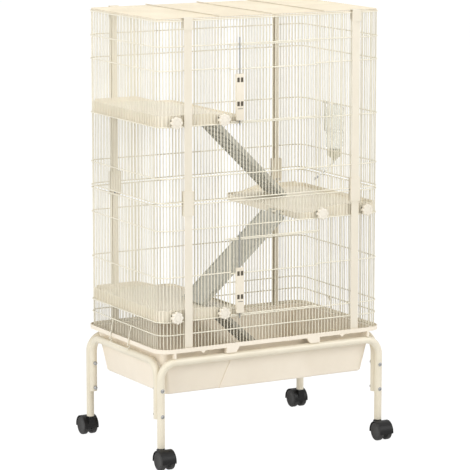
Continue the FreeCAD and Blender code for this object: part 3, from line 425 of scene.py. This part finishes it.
def sleeve_screw(middle):
    radius = 0.0031
    length = 0.0018
    rim_band = 0.0012
    soft_edge = 0.0008
    piece = begin_turned("sleeve_screw", 24, radius, length, middle, along_y)
    inward = 1 if middle.y < 0 else -1
    select_faces(piece, lambda place, normal: normal.y * inward > 0.9)
    bpy.ops.mesh.inset(thickness=rim_band)
    bpy.ops.mesh.extrude_region_move(TRANSFORM_OT_translate={"value": (0, -inward * length / 2, 0)})

    def head_rim(first, last):
        face = middle.y + inward * length / 2
        reach = [Vector((spot.x - middle.x, 0, spot.z - middle.z)).length for spot in (first, last)]
        return min(reach) > 0.003 and abs(first.y - face) < 0.00005 and abs(last.y - face) < 0.00005
    select_edges(piece, head_rim)
    bpy.ops.mesh.bevel(offset=soft_edge, segments=3, profile=0.5)
    done(piece, "cage", finishes["axle_steel"])
    return piece


sleeve_low, sleeve_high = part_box("post_sleeves")
post_x = sleeve_high.x - 0.01725
sleeve_inner = 0.2389
screw_height = sleeve_low.z + 0.007
screw_spread = 0.0054
for end in (-1, 1):
    first_place = Vector((-post_x - screw_spread, end * (sleeve_inner - 0.0009), screw_height))
    screw = sleeve_screw(first_place)
    screw.name = "sleeve_screw_" + ("front" if end < 0 else "back")
    for count, x in enumerate((-post_x + screw_spread, post_x - screw_spread, post_x + screw_spread)):
        copy_to(screw, screw.name + "_" + str(count + 2), Vector((x - first_place.x, 0, 0)), "cage")


# A pressed bead across the head of each latch, and a fold line below its windows, painted dark as the
# shade in the fold

def latch_line(latch, height, size, material, name):
    low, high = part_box(latch)
    middle = Vector(((low.x + high.x) / 2, low.y - size[1] / 2, height))
    piece = begin_bar(name, size, middle)
    select_faces(piece, lambda place, normal: normal.y < -0.9)
    bpy.ops.mesh.inset(thickness=size[2] * 0.2)
    bpy.ops.mesh.bevel(offset=size[2] * 0.1, segments=2, profile=0.6)
    done(piece, latch, material, 60)


for deck in ("high", "low"):
    latch = "latch_" + deck
    plate_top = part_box(latch)[1].z
    bead_size = (0.021, 0.0008, 0.0026)
    fold_size = (0.018, 0.0003, 0.0014)
    latch_line(latch, plate_top - 0.006, bead_size, finishes["latch_coating"],
               "latch_bead_" + deck)
    # The fold line is a strip of painted shade
    latch_line(latch, plate_top - 0.108, fold_size, painted_shade_dark, "latch_fold_" + deck)


# Bars that part each window of the latches in two

def window_bar(latch, height, name):
    low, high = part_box(latch)
    middle = Vector(((low.x + high.x) / 2, low.y + 0.0006, height))
    piece = begin_bar(name, (0.0038, 0.0012, 0.0145), middle)

    def upright_edge(first, last):
        return abs(first.x - last.x) < 0.0001 and abs(first.y - last.y) < 0.0001
    select_edges(piece, upright_edge)
    bpy.ops.mesh.bevel(offset=0.0004, segments=3, profile=0.5)
    done(piece, latch, finishes["latch_coating"], 50)


# Dark patches behind the latches' windows, one each side of the rod: painted shade for the dark inside of
# the windows

def window_shade_patch(latch, shift, height, name):
    low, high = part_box(latch)
    middle = Vector(((low.x + high.x) / 2 + shift, low.y + 0.0019, height))
    piece = begin_bar(name, (0.0091, 0.0006, 0.0161), middle)
    select_faces(piece, lambda place, normal: normal.y < -0.9)
    bpy.ops.mesh.inset(thickness=0.0009)
    bpy.ops.mesh.extrude_region_move(TRANSFORM_OT_translate={"value": (0, -0.0003, 0)})
    bpy.ops.mesh.bevel(offset=0.0001, segments=2, profile=0.6)
    done(piece, latch, window_painted_shade, 60)


for deck in ("high", "low"):
    plate_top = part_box("latch_" + deck)[1].z
    for row, drop in (("upper", 0.01875), ("lower", 0.09275)):
        window_bar("latch_" + deck, plate_top - drop, "window_bar_" + deck + "_" + row)
        for side, shift in (("left", -0.00715), ("right", 0.00715)):
            pad_name = "window_pad_" + deck + "_" + row + "_" + side
            window_shade_patch("latch_" + deck, shift, plate_top - drop, pad_name)


# A collar of darker steel at the end of the spout: painted shade for the spout's shaded tip

def spout_shade_collar():
    tip = Vector((0.3552, middle_of("bottle_cap").y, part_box("bottle_spout")[0].z + 0.0032))
    nose = Vector((middle_of("bottle_cap").x, tip.y, tip.z + 0.051))
    along = (nose - tip).normalized()
    middle = tip + along * 0.0085
    turn = math.atan2(along.x, along.z)
    piece = begin_turned("spout_shade_collar", 32, 0.0043, 0.014, middle, (0, turn, 0))
    select_faces(piece, lambda place, normal: abs(normal.dot(along)) > 0.9)
    bpy.ops.mesh.inset(thickness=0.0007)
    bpy.ops.mesh.bridge_edge_loops()

    def outer_rim(first, last):
        spans = [(spot - middle).dot(along) for spot in (first, last)]
        reach = [((spot - middle) - along * span).length for spot, span in zip((first, last), spans)]
        return min(reach) > 0.0042 and abs(spans[0] - spans[1]) < 0.0001
    select_edges(piece, outer_rim)
    bpy.ops.mesh.bevel(offset=0.0003, segments=2, profile=0.5)
    done(piece, "cage", finishes["axle_steel"])


spout_shade_collar()


# Stage: a pale floor that keeps a soft shadow, and a white surround

def seen_directly(tree):
    # One where the eye, a gloss or a clear piece looks at the surround
    light_path = tree.nodes.new("ShaderNodeLightPath")
    either = tree.nodes.new("ShaderNodeMath")
    either.operation = "MAXIMUM"
    any_seen = tree.nodes.new("ShaderNodeMath")
    any_seen.operation = "MAXIMUM"
    tree.links.new(light_path.outputs["Is Camera Ray"], either.inputs[0])
    tree.links.new(light_path.outputs["Is Glossy Ray"], either.inputs[1])
    tree.links.new(either.outputs["Value"], any_seen.inputs[0])
    tree.links.new(light_path.outputs["Is Transmission Ray"], any_seen.inputs[1])
    return any_seen


def pale_floor():
    bpy.ops.object.select_all(action="DESELECT")
    bpy.ops.mesh.primitive_plane_add(size=60, location=(0, 0, 0))
    floor = bpy.context.active_object
    floor.name = "pale_floor"
    material = bpy.data.materials.new("pale_floor")
    material.use_nodes = True
    tree = material.node_tree
    shader = tree.nodes["Principled BSDF"]
    shader.inputs["Base Color"].default_value = (0.8, 0.8, 0.8, 1)
    shader.inputs["Roughness"].default_value = 0.9
    shader.inputs["Specular IOR Level"].default_value = 0
    glow = tree.nodes.new("ShaderNodeEmission")
    glow.inputs["Strength"].default_value = 1.14
    any_seen = seen_directly(tree)
    share = tree.nodes.new("ShaderNodeMath")
    share.operation = "MULTIPLY"
    share.inputs[1].default_value = 0.85
    mix = tree.nodes.new("ShaderNodeMixShader")
    tree.links.new(any_seen.outputs["Value"], share.inputs[0])
    tree.links.new(share.outputs["Value"], mix.inputs["Fac"])
    tree.links.new(shader.outputs["BSDF"], mix.inputs[1])
    tree.links.new(glow.outputs["Emission"], mix.inputs[2])
    tree.links.new(mix.outputs["Shader"], tree.nodes["Material Output"].inputs["Surface"])
    floor.data.materials.append(material)


def white_surround(light_level):
    world = bpy.data.worlds.new("white_surround")
    scene.world = world
    world.use_nodes = True
    tree = world.node_tree
    seen = tree.nodes["Background"]
    seen.inputs["Color"].default_value = (1, 1, 1, 1)
    seen.inputs["Strength"].default_value = 1
    lit = tree.nodes.new("ShaderNodeBackground")
    lit.inputs["Color"].default_value = (1, 1, 1, 1)
    lit.inputs["Strength"].default_value = light_level
    any_seen = seen_directly(tree)
    mix = tree.nodes.new("ShaderNodeMixShader")
    tree.links.new(any_seen.outputs["Value"], mix.inputs["Fac"])
    tree.links.new(lit.outputs["Background"], mix.inputs[1])
    tree.links.new(seen.outputs["Background"], mix.inputs[2])
    tree.links.new(mix.outputs["Shader"], tree.nodes["World Output"].inputs["Surface"])


def soft_box(name, place, target, width, height, power):
    lamp = bpy.data.lights.new(name, "AREA")
    lamp.shape = "RECTANGLE"
    lamp.size = width
    lamp.size_y = height
    lamp.energy = power
    holder = bpy.data.objects.new(name, lamp)
    scene.collection.objects.link(holder)
    holder.location = place
    holder.rotation_mode = "QUATERNION"
    holder.rotation_quaternion = (Vector(target) - Vector(place)).to_track_quat("-Z", "Y")


pale_floor()
white_surround(0.45)
soft_box("overhead_soft_box", (-0.4, -0.8, 4.2), (0, 0, 0.7), 3.0, 3.0, 57)
soft_box("left_soft_box", (-4.8, -1.2, 1.9), (0, 0, 0.65), 3.0, 3.2, 112)
soft_box("right_soft_box", (2.6, -4.0, 3.0), (0, 0, 0.7), 3.0, 2.6, 106)


# Camera at the photograph's angle, with the small shift of its framing

view_from = Vector((-4.18610, -7.47206, 2.12476))
view_to = Vector((0, 0, 0.6958))
lens = bpy.data.cameras.new("photo_camera")
lens.sensor_width = 36
lens.lens = 207.55
lens.shift_x = 0.00274
lens.shift_y = -0.02125
lens.clip_end = 100
camera = bpy.data.objects.new("photo_camera", lens)
scene.collection.objects.link(camera)
camera.location = view_from
camera.rotation_mode = "QUATERNION"
camera.rotation_quaternion = (view_to - view_from).to_track_quat("-Z", "Y")
scene.camera = camera
